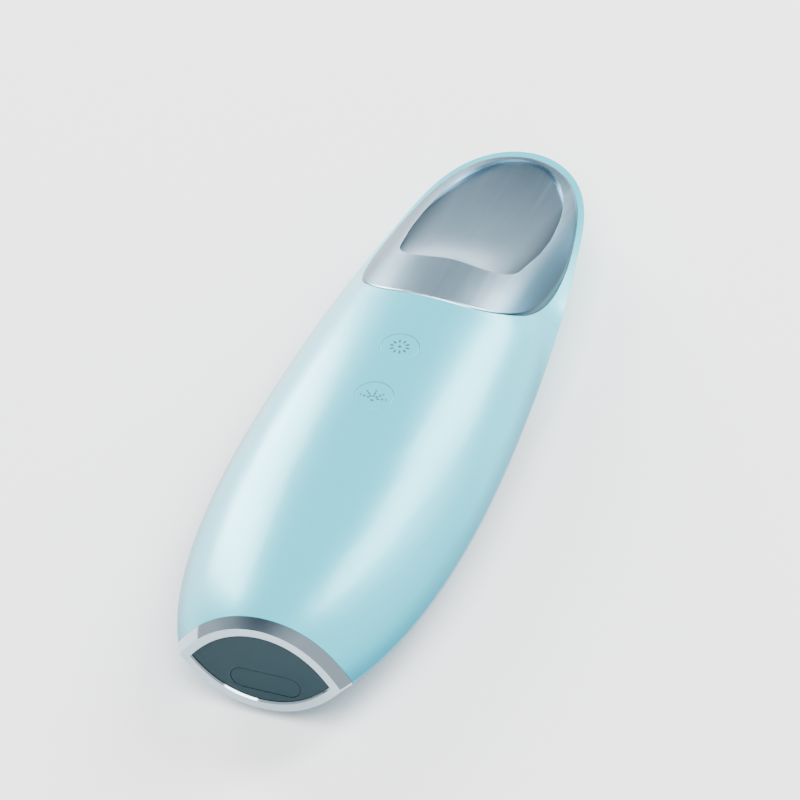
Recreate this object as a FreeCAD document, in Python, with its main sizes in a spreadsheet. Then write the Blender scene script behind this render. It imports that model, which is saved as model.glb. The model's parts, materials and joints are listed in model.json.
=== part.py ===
import FreeCAD, Part

import math
import os

import Sketcher
from FreeCAD import Vector

# Ultrasonic skin scrubber: a lens-shaped hand piece with a metal scoop head at its tip.
# Every sub-part is drawn in the base-end frame: y runs from the base end towards the tip and
# z from the plane of the widest outline towards the front. place() then carries it into the
# row frame, whose origin is under the middle of the device, on the surface it lies on.

SIZES = (
    ("device_length", 150.0),
    ("rear_depth", 11.0),          # outline plane to the flat the device lies on
    ("wall", 1.8),
    ("edge_land", 0.25),           # how far below the outline plane the edge is blunted
    ("edge_round", 0.1),
    ("rest_round", 6.0),
    ("seam_drop", 1.6),            # parting line below the outline plane
    ("seam_gap", 0.12),
    ("lip_outer", 0.95),           # outer face of the locating lip below the case's surface
    ("seam_tongue", 0.8),
    ("fit_gap", 0.05),             # clearance between pieces that locate each other
    ("film_gap", 0.01),            # clearance between pieces that touch
    ("overlap", 0.1),              # how far joined lumps run into each other
    ("seam_rebate", 1.3),
    ("cross_bulge", 0.0009),       # fullness of the cross-section, per square millimetre
    # half-widths of the outline at stations along the length
    ("station_end", 0.0), ("width_end", 15.4),
    ("station_ring", 4.0), ("width_ring", 17.4),
    ("station_heel", 10.0), ("width_heel", 19.65),
    ("station_palm", 22.0), ("width_palm", 22.45),
    ("station_belly", 50.0), ("width_belly", 24.55),
    ("station_waist", 80.0), ("width_waist", 23.2),
    ("station_neck", 105.0), ("width_neck", 20.6),
    ("station_cheek", 125.0), ("width_cheek", 17.35),
    ("station_brow", 140.0), ("width_brow", 13.3),
    # height of the front ridge above the outline plane
    ("ridge_end", 10.0), ("ridge_ring", 11.1), ("ridge_heel", 11.9),
    ("ridge_station_grip", 35.0), ("ridge_grip", 13.2),
    ("ridge_station_crest", 68.0), ("ridge_crest", 14.7),
    ("ridge_station_collar", 90.5), ("ridge_collar", 14.0),
    ("ridge_station_step", 104.0), ("ridge_step", 12.4),
    ("ridge_station_mid", 120.0), ("ridge_mid", 8.2),
    ("ridge_station_fore", 135.0), ("ridge_fore", 3.9),
    # depth of the back below the outline plane, before the flat is cut
    ("back_end", 8.8), ("back_heel", 10.0),
    ("back_station_grip", 35.0), ("back_grip", 11.5),
    ("back_station_crest", 68.0), ("back_crest", 12.2),
    ("back_neck", 10.4),
    ("back_station_fore", 130.0), ("back_fore", 7.2),
    ("back_station_tip", 142.0), ("back_tip", 4.4),
    # the rim ledge around the metal head
    ("ledge_start", 94.0), ("ledge_end", 115.0), ("ledge_share", 0.45),
    # metal head
    ("plate", 1.3),
    ("head_clearance", 0.08),
    ("landing", 2.2),
    ("landing_wall", 2.9),
    ("landing_margin", 1.2),
    ("gasket_thickness", 0.3),
    ("gasket_inset", 0.3),
    ("head_edge", 0.6),
    ("scoop_step", 0.35),
    ("scoop_half_width", 12.0),
    ("scoop_start_y", 103.3), ("scoop_start_z", 11.9),
    ("scoop_upper_y", 110.0), ("scoop_upper_z", 8.1),
    ("scoop_middle_y", 120.0), ("scoop_middle_z", 4.6),
    ("scoop_lower_y", 133.0), ("scoop_lower_z", 1.9),
    ("scoop_end_y", 147.0), ("scoop_end_z", 0.3),
    # base ring, end cap and charging port
    ("ring_length", 2.6),
    ("ring_wall", 1.3),
    ("ring_lip", 1.9),
    ("ring_lip_depth", 0.9),
    ("ring_bevel", 0.35),
    ("base_gap", 0.1),
    ("cap_recess", 0.45),
    ("cap_plate_end", 2.6),
    ("cap_spigot_end", 5.0),
    ("cap_spigot_wall", 1.2),
    ("seal_thickness", 0.2),
    ("port_drop", 2.6),            # centre of the port below the outline plane
    ("port_width", 9.0), ("port_height", 3.3),
    ("plug_low_x", 5.8), ("plug_high_x", 7.4), ("plug_height", 4.4), ("plug_thickness", 0.8),
    ("plug_gap", 0.1),
    ("plug_tongue_width", 8.0), ("plug_tongue_height", 2.2), ("plug_tongue_end", 4.2),
    ("leash_x", 5.9), ("leash_radius", 0.8), ("leash_barb_radius", 1.15),
    ("leash_barb_start", 8.7), ("leash_end", 9.5),
    ("socket_width", 8.94), ("socket_height", 3.26), ("socket_start", 2.7), ("socket_end", 10.0),
    ("socket_sheet", 0.3), ("socket_back", 0.5),
    ("socket_tongue_width", 6.7), ("socket_tongue_height", 0.7),
    ("socket_tongue_start", 4.7),
    ("port_board_start", 5.4), ("port_board_end", 13.6), ("port_board_half_width", 7.0),
    ("port_board_thickness", 0.8),
    ("port_screw_x", 5.6), ("port_screw_y", 12.0),
    ("port_post_radius", 1.4), ("small_pilot_radius", 0.62), ("small_screw_radius", 0.6),
    ("small_screw_length", 3.0), ("small_head_radius", 1.1), ("small_head_height", 0.7),
    ("small_hole_radius", 0.75),
    # keys
    ("power_key_y", 75.2), ("mode_key_y", 61.3),
    ("key_hole_radius", 3.67), ("key_radius", 3.6),
    ("key_flange_radius", 4.5), ("key_flange_top", 12.3), ("key_flange_thickness", 0.8),
    ("key_stem_radius", 1.6), ("key_stem_end", 10.3),
    ("key_groove_z", 13.2), ("key_groove_width", 0.8), ("key_groove_depth", 0.6),
    ("key_ring_section", 0.31),
    ("key_sink", 0.03),
    # frame that carries the battery, boards, motor and transducer
    ("frame_z", 3.6), ("frame_thickness", 1.2), ("frame_half_width", 12.5),
    ("frame_start", 16.2), ("frame_end", 92.0),
    ("ear_start", 11.6), ("ear_inner_x", 5.5), ("ear_chamfer", 1.5), ("ear_slope", 4.0),
    ("low_screw_x", 8.0), ("low_screw_y", 14.0),
    ("high_screw_x", 10.0), ("high_screw_y", 86.2),
    ("screw_hole_radius", 0.95), ("boss_radius", 2.1), ("pilot_radius", 0.82),
    ("pilot_depth", 4.6),
    ("screw_radius", 0.8), ("screw_head_radius", 1.5), ("screw_head_height", 1.1),
    ("screw_length", 5.2), ("screw_socket_radius", 0.7), ("screw_socket_depth", 0.5),
    ("rail_x", 12.4), ("rail_width", 1.2), ("rail_z", -2.8), ("rail_start", 17.0),
    ("rail_end", 53.0),
    ("saddle_half_width", 6.2), ("saddle_start", 56.5), ("saddle_end", 63.5), ("saddle_z", -3.0),
    ("yoke_half_width", 8.2), ("yoke_start", 89.4), ("yoke_end", 91.8), ("yoke_z", -4.6),
    ("window_half_width", 4.4), ("window_start", 80.6), ("window_end", 88.8),
    ("frame_round", 1.5),
    # battery
    ("battery_start", 17.4), ("battery_length", 35.0), ("battery_half_width", 12.0),
    ("battery_thickness", 7.8), ("battery_top", 2.6), ("battery_round", 1.6),
    ("battery_pad_margin", 3.0),
    # main board and what stands on it
    ("board_start", 22.0), ("board_end", 81.6), ("board_half_width", 11.5),
    ("board_z", 5.2), ("board_thickness", 1.0), ("board_notch", 3.2),
    ("standoff_radius", 1.5), ("standoff_x", 9.6), ("standoff_low_y", 28.0),
    ("standoff_high_y", 72.0), ("board_hole_radius", 0.8),
    ("chip_size", 7.0), ("chip_height", 0.9), ("chip_x", -4.6), ("chip_y", 43.5),
    ("radio_width", 12.0), ("radio_length", 9.0), ("radio_height", 1.9), ("radio_y", 34.4),
    ("radio_plate", 0.7), ("radio_antenna", 3.0), ("radio_edge", 0.5),
    ("coil_base", 9.0), ("coil_cap", 7.4), ("coil_height", 4.4), ("coil_x", 5.6), ("coil_y", 47.6),
    ("coil_core_radius", 3.4), ("coil_base_height", 1.0), ("coil_cap_height", 0.9),
    ("choke_radius", 3.0), ("choke_height", 3.0), ("choke_x", -6.4), ("choke_y", 52.4),
    ("choke_waist", 2.3), ("choke_flange", 0.7),
    ("capacitor_length", 3.2), ("capacitor_width", 1.7), ("capacitor_height", 1.6),
    ("capacitor_x", -9.0), ("capacitor_y", 60.0), ("capacitor_pitch", 3.4),
    ("led_width", 2.0), ("led_length", 1.2), ("led_height", 0.8), ("led_x", 5.2),
    ("connector_width", 6.0), ("connector_length", 4.0), ("connector_height", 2.4),
    ("connector_y", 25.4),
    ("switch_size", 6.0), ("switch_height", 3.4), ("plunger_hole_radius", 1.72),
    ("plunger_hole_depth", 1.0), ("plunger_bottom", 9.2),
    # vibration motor
    ("motor_z", -1.6), ("motor_radius", 4.0), ("motor_start", 54.0), ("motor_end", 66.0),
    ("motor_nose_radius", 1.6), ("motor_nose_end", 66.8),
    ("sleeve_radius", 5.0), ("sleeve_overhang", 0.4), ("shaft_end_gap", 0.2),
    ("shaft_radius", 0.5), ("shaft_bore_radius", 0.55), ("shaft_start", 62.0), ("shaft_end", 71.6),
    ("weight_radius", 3.4), ("weight_hub_radius", 1.3), ("weight_start", 67.6), ("weight_end", 71.3),
    # ultrasonic transducer, a bolted stack on the same axis
    ("stack_z", -1.6), ("stack_radius", 5.0), ("stack_bore_radius", 2.1),
    ("tail_start", 75.6), ("tail_end", 82.0), ("tail_chamfer", 0.5),
    ("electrode_thickness", 0.3), ("piezo_thickness", 2.5),
    ("electrode_radius", 4.9), ("tab_width", 1.6), ("tab_x", 1.6), ("tab_foot", 1.4), ("tab_top", 7.4),
    ("horn_flange_end", 93.4), ("horn_groove_radius", 4.4), ("horn_neck_start", 98.0),
    ("horn_neck_radius", 3.2), ("horn_end", 113.0),
    ("bolt_start", 72.4), ("bolt_head_radius", 3.2), ("bolt_radius", 2.0), ("bolt_end", 96.5),
    ("bolt_end_gap", 0.5),
    ("bolt_socket_radius", 1.4), ("bolt_socket_depth", 1.8),
    ("collar_radius", 6.5), ("collar_start", 89.0), ("collar_end", 92.2),
    ("block_half_width", 4.0), ("block_start", 104.5), ("block_end", 115.0),
    # leads inside the case
    ("lead_radius", 0.45), ("lead_bend", 1.5), ("lead_x", 1.2), ("lead_drop_y", 13.6),
    ("lead_low_z", 0.4), ("lead_high_z", 7.5),
    ("tab_lead_top", 9.6), ("tab_lead_y", 79.8),
    ("flex_low_x", -5.2), ("flex_high_x", -2.4), ("flex_thickness", 0.2), ("flex_rise_y", 15.4),
    ("flex_lap", 0.6),
    ("contact_low_x", 2.6), ("contact_high_x", 5.2), ("contact_thickness", 0.25),
    ("contact_start", 78.8), ("contact_bend_y", 86.6), ("contact_touch_y", 95.6),
    ("contact_end_y", 98.6), ("contact_depth", 1.65), ("contact_toe", 0.1),
)

doc = FreeCAD.newDocument("skin_scrubber")
sheet = doc.addObject("Spreadsheet::Sheet", "Sizes")
for row_number, (alias, value) in enumerate(SIZES, start=1):
    sheet.set("A%d" % row_number, alias)
    sheet.set("B%d" % row_number, str(value))
    sheet.setAlias("B%d" % row_number, alias)
doc.recompute()

UP = Vector(0, 0, 1)
ACROSS = Vector(1, 0, 0)
ALONG = Vector(0, 1, 0)
REACH = 120.0      # longer than the device in any direction that a tool is extruded
ABOVE = 30.0       # higher than anything in front
SIDE = 30.0        # half-width of the surface grids, wider than the outline
GRID_X = 3.0
GRID_Y = 3.0
SLOPE_STEP = 0.01
HEAD_ROUND = 0.35   # round of a screw head, as a share of its height
OUTLINE_STEPS = 28
sub_parts = []


def size(alias):
    """A driving dimension, as a number."""
    return float(getattr(sheet, alias))


def bound(expression):
    """An expression over the sheet's aliases, with their owner's name filled in."""
    words = []
    for word in expression.replace("(", " ( ").replace(")", " ) ").split():
        words.append("Sizes." + word if word[0].isalpha() else word)
    return " ".join(words)


def worked_out(expression):
    """The present value of an expression over the sheet's aliases."""
    return float(sheet.evalExpression(bound(expression)))


def place(item, y="0", z="0"):
    """Carry a finished sub-part from the base-end frame into the row frame."""
    item.setExpression("Placement.Base.y", bound("%s - device_length / 2" % y))
    item.setExpression("Placement.Base.z", bound("%s + rear_depth" % z))
    sub_parts.append(item)
    return item


# ---------------------------------------------------------------- sketches and bodies


def new_body(label):
    body = doc.addObject("PartDesign::Body", label)
    body.Label = label
    return body


def sketch_on(body, role, name, offset="0"):
    """A sketch on one of the body's own origin planes."""
    plane = [item for item in body.Origin.OriginFeatures if item.Role == role][0]
    sketch = body.newObject("Sketcher::SketchObject", name)
    sketch.AttachmentSupport = [(plane, "")]
    sketch.MapMode = "FlatFace"
    sketch.setExpression("AttachmentOffset.Base.z", bound(offset))
    return sketch


def fix_point(sketch, element, end, across, upward):
    """Hold one point of a sketch at two distances taken from the sheet."""
    for kind, axis, expression in (("DistanceX", -2, across), ("DistanceY", -1, upward)):
        value = worked_out(expression)
        if abs(value) < 1e-9:
            sketch.addConstraint(Sketcher.Constraint("PointOnObject", element, end, axis))
            continue
        index = sketch.addConstraint(Sketcher.Constraint(kind, -1, 1, element, end, value))
        sketch.setExpression("Constraints[%d]" % index, bound(expression))


def polygon(sketch, corners):
    """A closed straight-sided outline whose corners are pairs of expressions."""
    points = [Vector(worked_out(across), worked_out(upward), 0) for across, upward in corners]
    first = sketch.GeometryCount
    count = len(points)
    for index in range(count):
        sketch.addGeometry(Part.LineSegment(points[index], points[(index + 1) % count]), False)
    for index in range(count):
        following = first + (index + 1) % count
        sketch.addConstraint(Sketcher.Constraint("Coincident", first + index, 2, following, 1))
    for index, (across, upward) in enumerate(corners):
        fix_point(sketch, first + index, 1, across, upward)


def rectangle(sketch, low_x, high_x, low_y, high_y):
    polygon(sketch, ((low_x, low_y), (high_x, low_y), (high_x, high_y), (low_x, high_y)))


def circle(sketch, across, upward, radius):
    centre = Vector(worked_out(across), worked_out(upward), 0)
    element = sketch.addGeometry(Part.Circle(centre, UP, worked_out(radius)), False)
    fix_point(sketch, element, 3, across, upward)
    index = sketch.addConstraint(Sketcher.Constraint("Radius", element, worked_out(radius)))
    sketch.setExpression("Constraints[%d]" % index, bound(radius))


def pad(body, sketch, length, reverse=False):
    feature = body.newObject("PartDesign::Pad", sketch.Name + "_pad")
    feature.Profile = sketch
    feature.setExpression("Length", bound(length))
    feature.Reversed = reverse
    return feature


def pocket(body, sketch, depth, reverse=False):
    """Cut a sketch into its body, and make sure that something was cut."""
    doc.recompute()
    before = body.Shape.Volume
    feature = body.newObject("PartDesign::Pocket", sketch.Name + "_pocket")
    feature.Profile = sketch
    feature.setExpression("Length", bound(depth))
    feature.Reversed = reverse
    doc.recompute()
    if body.Shape.Volume > before - 1e-3:
        raise RuntimeError("%s cuts nothing from %s" % (sketch.Name, body.Label))
    return feature


def edge_names(shape, wanted):
    return ["Edge%d" % number for number, edge in enumerate(shape.Edges, start=1) if wanted(edge)]


def upright(edge):
    """A straight edge along z."""
    low, high = edge.Vertexes[0].Point, edge.Vertexes[-1].Point
    return (high - low).Length > 1e-6 and (high - low).cross(UP).Length < 1e-6


def round_edges(body, feature, radius, wanted):
    doc.recompute()
    fillet = body.newObject("PartDesign::Fillet", feature.Name + "_round")
    fillet.Base = (feature, edge_names(feature.Shape, wanted))
    fillet.setExpression("Radius", bound(radius))
    return fillet


def block(label, low_x, high_x, low_y, high_y, low_z, height, radius=None):
    """A rectangular piece with upright sides, its upright edges rounded on request."""
    body = new_body(label)
    sketch = sketch_on(body, "XY_Plane", label + "_plan", low_z)
    rectangle(sketch, low_x, high_x, low_y, high_y)
    feature = pad(body, sketch, height)
    if radius:
        round_edges(body, feature, radius, upright)
    return place(body)


def turned(label, axis_z, profile):
    """A piece turned about a line along y; the profile is (y, radius) pairs."""
    body = new_body(label)
    sketch = sketch_on(body, "YZ_Plane", label + "_profile")
    polygon(sketch, profile)
    feature = body.newObject("PartDesign::Revolution", label + "_turn")
    feature.Profile = sketch
    feature.ReferenceAxis = (sketch, ["H_Axis"])
    feature.Angle = 360.0
    return place(body, z=axis_z)


# ---------------------------------------------------------------- free-form surfaces


def profile_curve(stations, values):
    """A smooth run of one value along the length: the curve's parameter is the distance."""
    curve = Part.BSplineCurve()
    points = [Vector(station, value, 0) for station, value in zip(stations, values)]
    curve.interpolate(Points=points, Parameters=list(stations))
    return curve


def stations_of(*names):
    return [size(name) for name in names] + [size("device_length")]


def values_of(*names):
    return [size(name) for name in names] + [0.0]


WIDTH_NAMES = ("end", "ring", "heel", "palm", "belly", "waist", "neck", "cheek", "brow")
width_squared = profile_curve(
    stations_of(*["station_" + name for name in WIDTH_NAMES]),
    [size("width_" + name) ** 2 for name in WIDTH_NAMES] + [0.0],
)
ridge_curve = profile_curve(
    stations_of("station_end", "station_ring", "station_heel", "ridge_station_grip",
                "ridge_station_crest", "ridge_station_collar", "ridge_station_step",
                "ridge_station_mid", "ridge_station_fore"),
    values_of("ridge_end", "ridge_ring", "ridge_heel", "ridge_grip", "ridge_crest",
              "ridge_collar", "ridge_step", "ridge_mid", "ridge_fore"),
)
back_curve = profile_curve(
    stations_of("station_end", "station_heel", "back_station_grip", "back_station_crest",
                "station_neck", "back_station_fore", "back_station_tip"),
    values_of("back_end", "back_heel", "back_grip", "back_crest", "back_neck",
              "back_fore", "back_tip"),
)
scoop_curve = profile_curve(
    [size("scoop_%s_y" % name) for name in ("start", "upper", "middle", "lower", "end")],
    [size("scoop_%s_z" % name) for name in ("start", "upper", "middle", "lower", "end")],
)


def crowned(curve, x, y):
    """Height of a surface that has the curve's height on the ridge and none on the outline."""
    half_width_squared = width_squared.value(y).y
    steepness = curve.value(y).y / half_width_squared
    return steepness * (half_width_squared - x * x) * (1 + size("cross_bulge") * x * x)


def front(x, y):
    return crowned(ridge_curve, x, y)


def back(x, y):
    return -crowned(back_curve, x, y)


def case_front(x, y):
    """The coloured case's front: it sinks to a narrow ledge around the metal head."""
    run = (y - size("ledge_start")) / (size("ledge_end") - size("ledge_start"))
    run = min(max(run, 0.0), 1.0)
    sink = run * run * (3 - 2 * run)
    return front(x, y) * (1 - (1 - size("ledge_share")) * sink)


def scoop(x, y):
    """The dished floor: its own height on the ridge, a small step below the flanks."""
    middle = scoop_curve.value(y).y
    side = size("scoop_half_width")
    flank = front(side, y) - size("scoop_step")
    return middle + (flank - middle) * (x / side) ** 2


def slope_factor(height, x, y):
    """Length of the surface's normal per unit of height, for an even wall."""
    across = (height(x + SLOPE_STEP, y) - height(x - SLOPE_STEP, y)) / (2 * SLOPE_STEP)
    along = (height(x, y + SLOPE_STEP) - height(x, y - SLOPE_STEP)) / (2 * SLOPE_STEP)
    return math.sqrt(1 + across * across + along * along)


def surface(height, depth, inward):
    """The height field as a face, moved inward by an even depth."""
    columns = int(2 * SIDE / GRID_X) + 1
    rows = int((size("device_length") + 3 * GRID_Y) / GRID_Y)
    grid = []
    for column in range(columns):
        x = -SIDE + column * GRID_X
        line = []
        for row in range(rows):
            y = (row - 0.6) * GRID_Y
            z = height(x, y)
            if depth:
                z += inward * depth * slope_factor(height, x, y)
            line.append(Vector(x, y, z))
        grid.append(line)
    patch = Part.BSplineSurface()
    patch.interpolate(grid)
    return patch.toShape()


def under(height, depth=0.0):
    """Everything below a height field that has been lowered by the depth."""
    return surface(height, depth, -1).extrude(UP * -REACH)


def over_back(depth=0.0):
    """Everything above the back surface raised by the depth."""
    return surface(back, depth, 1).extrude(UP * REACH)


def slab(low_z, high_z, low_y=0.0, high_y=None):
    """A box across the whole device between two heights and two distances."""
    if high_y is None:
        high_y = size("device_length") + GRID_Y
    width = 2 * SIDE - GRID_X
    return Part.makeBox(width, high_y - low_y, high_z - low_z, Vector(-width / 2, low_y, low_z))


def whole(low_y=0.0, high_y=None):
    return slab(-size("rear_depth"), ABOVE, low_y, high_y)


def upright_rod(x, y, radius, low_z, high_z):
    return Part.makeCylinder(radius, high_z - low_z, Vector(x, y, low_z), UP)


def half_curve(points, heading):
    """Half of an outline, which leaves the middle plane along the heading and comes back."""
    curve = Part.BSplineCurve()
    curve.interpolate(Points=points, InitialTangent=heading, FinalTangent=-heading, Scale=False)
    return curve


def outline(half, offset=0.0):
    """A smooth closed wire, symmetric about x = 0, grown or shrunk from its right half."""
    curve = half_curve([Vector(x, y, 0) for x, y in half], ACROSS)
    points = []
    for step in range(OUTLINE_STEPS + 1):
        parameter = curve.LastParameter * step / OUTLINE_STEPS
        outward = curve.tangent(parameter)[0].cross(UP)
        points.append(curve.value(parameter) + outward * offset)
    mirrored = [Vector(-point.x, point.y, 0) for point in reversed(points)]
    return Part.Wire([half_curve(points, ACROSS).toShape(), half_curve(mirrored, -ACROSS).toShape()])


# Plan outline of the metal head, right half from its lower middle to the tip.
HEAD_HALF = ((0, 90.5), (10.6, 92.3), (15.2, 97.4), (16.8, 103.5), (17.2, 110.5), (16.7, 120),
             (14.9, 130), (12.0, 139), (7.4, 145.2), (0, 147.9))
# Plan outline of the scoop in it, flat across its lower end.
SCOOP_HALF = ((0, 103.3), (7.6, 103.5), (10.7, 105.6), (11.9, 110.5), (12.6, 118), (12.3, 126),
              (11.1, 134), (8.6, 140.6), (4.8, 144.9), (0, 146.5))


def column(wire):
    """An upright column over a plan outline."""
    solid = Part.Face(wire).extrude(UP * REACH)
    solid.translate(UP * (-REACH / 2))
    return solid


def head_column(offset=0.0):
    return column(outline(HEAD_HALF, offset))


def edges_where(shape, wanted, samples=5):
    """The edges whose sampled points all pass the test."""
    return [edge for edge in shape.Edges
            if edge.Length > 1e-3 and all(wanted(point) for point in edge.discretize(samples))]


def rounded(shape, radius, edges, label):
    """A fillet that must leave a valid solid."""
    result = shape.makeFillet(radius, edges)
    if not result.isValid() or result.Volume <= 0:
        raise RuntimeError("the edges of %s can't be rounded" % label)
    return result


def feature(label, shape):
    """A sub-part whose shape is worked out here."""
    item = doc.addObject("Part::Feature", label)
    item.Label = label
    if len(shape.Solids) == 1:
        shape = shape.Solids[0]
    item.Shape = shape
    return place(item)


def beneath(solid, depth):
    """The part of a solid that lies under the head's crown and scoop, lowered by the depth."""
    return solid.common(under(front, depth)).common(under(scoop, depth))


# Inner spaces: the envelope shrunk by a depth, between two heights and two distances.


def core(depth, low_z=None, high_z=None, low_y=0.0, high_y=None):
    low = -size("rear_depth") + depth if low_z is None else low_z
    high = ABOVE if high_z is None else high_z
    return slab(low, high, low_y, high_y).common(under(front, depth)).common(over_back(depth))


def band(outer, inner, low_z, high_z, low_y=0.0, high_y=None):
    """A ring that follows the outline between two depths."""
    solid = core(outer, low_z, high_z, low_y, high_y)
    return solid.cut(core(inner, low_z - 1, high_z + 1, low_y - 1, high_y))


# ---------------------------------------------------------------- case


def outer_case():
    """The coloured envelope: case front over back, with a blunted edge and a soft rest flat."""
    solid = whole().common(under(case_front)).common(over_back())
    widest = solid.slice(UP, -size("edge_land"))[0]
    solid = solid.common(column(widest))
    rest = -size("rear_depth")
    flat = edges_where(solid, lambda point: abs(point.z - rest) < 0.02)
    return rounded(solid, size("rest_round"), flat, "the rest flat")


def key_places():
    return (("power", size("power_key_y")), ("mode", size("mode_key_y")))


def frame_screw_places():
    """Centre of each frame screw, seen from the front."""
    places = []
    for side in (-1, 1):
        places.append((side * size("low_screw_x"), size("low_screw_y")))
        places.append((side * size("high_screw_x"), size("high_screw_y")))
    return places


def make_front_shell(case):
    seam = -size("seam_drop")
    start = size("ring_length") + size("base_gap")
    outside = case.common(slab(seam, ABOVE, start))
    opening = head_column(size("head_clearance"))
    shelf_depth = size("plate") + size("gasket_thickness") + size("fit_gap")
    shelf = beneath(opening.common(slab(seam, ABOVE, start)), shelf_depth)
    shelf = shelf.common(over_back())
    outside = outside.cut(opening).fuse(shelf)
    outside = outside.cut(head_column(-size("landing")))
    ring = head_column(size("landing_margin")).cut(head_column(-size("landing")))
    hollow = core(size("wall"), seam - 1).cut(ring)
    shell = outside.cut(hollow).cut(core(size("landing_wall"), seam - 1))
    tongue_end = seam - size("seam_tongue")
    tongue = band(size("lip_outer"), size("wall"), tongue_end, seam, start)
    shell = shell.fuse(tongue)
    ceiling = core(size("wall") / 2)
    floor_z = size("frame_z") + size("frame_thickness")
    for x, y in frame_screw_places():
        boss = upright_rod(x, y, size("boss_radius"), floor_z, ABOVE).common(ceiling)
        shell = shell.fuse(boss)
        shell = shell.cut(upright_rod(x, y, size("pilot_radius"), floor_z - 1,
                                      floor_z + size("pilot_depth")))
    for name, y in key_places():
        shell = shell.cut(upright_rod(0, y, size("key_hole_radius"), floor_z, ABOVE))
    return feature("front_shell", shell.removeSplitter())


def make_rear_shell(case):
    seam = -size("seam_drop") - size("seam_gap")
    start = size("ring_length") + size("base_gap")
    shell = case.common(slab(-size("rear_depth") - 1, seam, start))
    shell = shell.cut(core(size("wall")))
    rebate = seam - size("seam_rebate")
    shell = shell.cut(core(size("lip_outer") - size("fit_gap"), rebate, seam + 1))
    base = core(size("wall") / 2)
    board_under = -size("port_drop") - size("socket_height") / 2 - size("port_board_thickness")
    for side in (-1, 1):
        x = side * size("port_screw_x")
        post = upright_rod(x, size("port_screw_y"), size("port_post_radius"),
                           -size("rear_depth"), board_under)
        shell = shell.fuse(post.common(base))
        shell = shell.cut(upright_rod(x, size("port_screw_y"), size("small_pilot_radius"),
                                      board_under - size("small_screw_length"), board_under + 1))
    return feature("rear_shell", shell.removeSplitter())


def make_parting_gasket():
    top = -size("seam_drop") - size("seam_tongue")
    bottom = -size("seam_drop") - size("seam_gap") - size("seam_rebate")
    start = size("ring_length") + size("base_gap")
    inner = size("wall") - size("fit_gap")
    return feature("parting_gasket", band(size("lip_outer"), inner, bottom, top, start))


# ---------------------------------------------------------------- metal head


def make_head():
    """A dished plate that carries on the case's crown and steps down into the scoop."""
    base = -size("seam_drop")
    crown = slab(base, ABOVE).common(under(front)).common(head_column())
    crown = rounded(crown, size("head_edge"), top_edges(crown), "the head")
    dish = column(outline(SCOOP_HALF)).cut(under(scoop))
    crown = crown.cut(dish)
    plate = crown.cut(beneath(crown, size("plate")))
    return feature("scrubber_head", plate.removeSplitter())


def top_edges(crown):
    """The edges where the plate's top meets its upright sides."""
    def on_top(edge):
        middle = edge.discretize(3)[1]
        return edge.Length > 1 and abs(middle.z - front(middle.x, middle.y)) < 0.05

    return [edge for edge in crown.Edges if on_top(edge)]


def make_head_gasket():
    top = size("plate") + size("film_gap")
    bottom = top + size("gasket_thickness")
    ring = head_column(-size("gasket_inset")).cut(head_column(size("overlap") - size("landing")))
    ring = ring.common(slab(-size("seam_drop"), ABOVE))
    return feature("head_gasket", beneath(ring, top).cut(beneath(ring, bottom)))


# ---------------------------------------------------------------- base end


def stadium(low_x, high_x, middle_z, height, low_y, high_y):
    """A bar along y with fully rounded ends, seen from the base end."""
    radius = height / 2
    bar = Part.makeBox(high_x - low_x - height, high_y - low_y, height,
                       Vector(low_x + radius, low_y, middle_z - radius))
    for x in (low_x + radius, high_x - radius):
        bar = bar.fuse(Part.makeCylinder(radius, high_y - low_y, Vector(x, low_y, middle_z), ALONG))
    return bar.removeSplitter()


def along_rod(x, z, radius, low_y, high_y):
    return Part.makeCylinder(radius, high_y - low_y, Vector(x, low_y, z), ALONG)


def make_base_ring(case):
    end = size("ring_length")
    ring = case.common(whole(0, end))
    ring = ring.cut(core(size("ring_wall"), None, None, size("ring_lip_depth"), end + 1))
    ring = ring.cut(core(size("ring_lip"), None, None, -1, end + 1)).removeSplitter()

    def inner_rim(point):
        above, below = front(point.x, point.y) - point.z, point.z - back(point.x, point.y)
        return abs(point.y) < 1e-3 and min(above, below) > size("ring_wall")

    return feature("base_ring", ring.makeChamfer(size("ring_bevel"), edges_where(ring, inner_rim)))


def make_base_cap():
    front_y = size("cap_recess")
    shoulder = size("ring_lip_depth") + size("seal_thickness")
    end = size("cap_spigot_end")
    plate = core(size("ring_lip") + size("base_gap"), None, None, front_y, shoulder + size("overlap"))
    flange = core(size("ring_wall") + size("fit_gap"), None, None, shoulder, size("cap_plate_end"))
    outer = size("wall") + 2 * size("fit_gap")
    skirt = core(outer, None, None, size("cap_plate_end"), end)
    skirt = skirt.cut(core(outer + size("cap_spigot_wall"), None, None, 0, end + 1))
    cap = plate.fuse(flange).fuse(skirt)
    z = -size("port_drop")
    half = size("port_width") / 2
    gap = size("plug_gap")
    cap = cap.cut(stadium(-half, half, z, size("port_height"), 0, end))
    cap = cap.cut(stadium(-size("plug_low_x") - gap, size("plug_high_x") + gap, z,
                          size("plug_height") + 2 * gap, 0, front_y + size("plug_thickness")))
    leash = size("leash_radius") + size("plug_gap")
    cap = cap.cut(along_rod(size("leash_x"), z, leash, 0, end))
    return feature("base_cap", cap.removeSplitter())


def make_base_seal():
    start = size("ring_lip_depth")
    end = start + size("seal_thickness")
    ring = core(size("ring_wall") + 2 * size("fit_gap"), None, None, start, end)
    ring = ring.cut(core(size("ring_lip") + size("fit_gap"), None, None, start - 1, end + 1))
    return feature("base_seal", ring)


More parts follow.
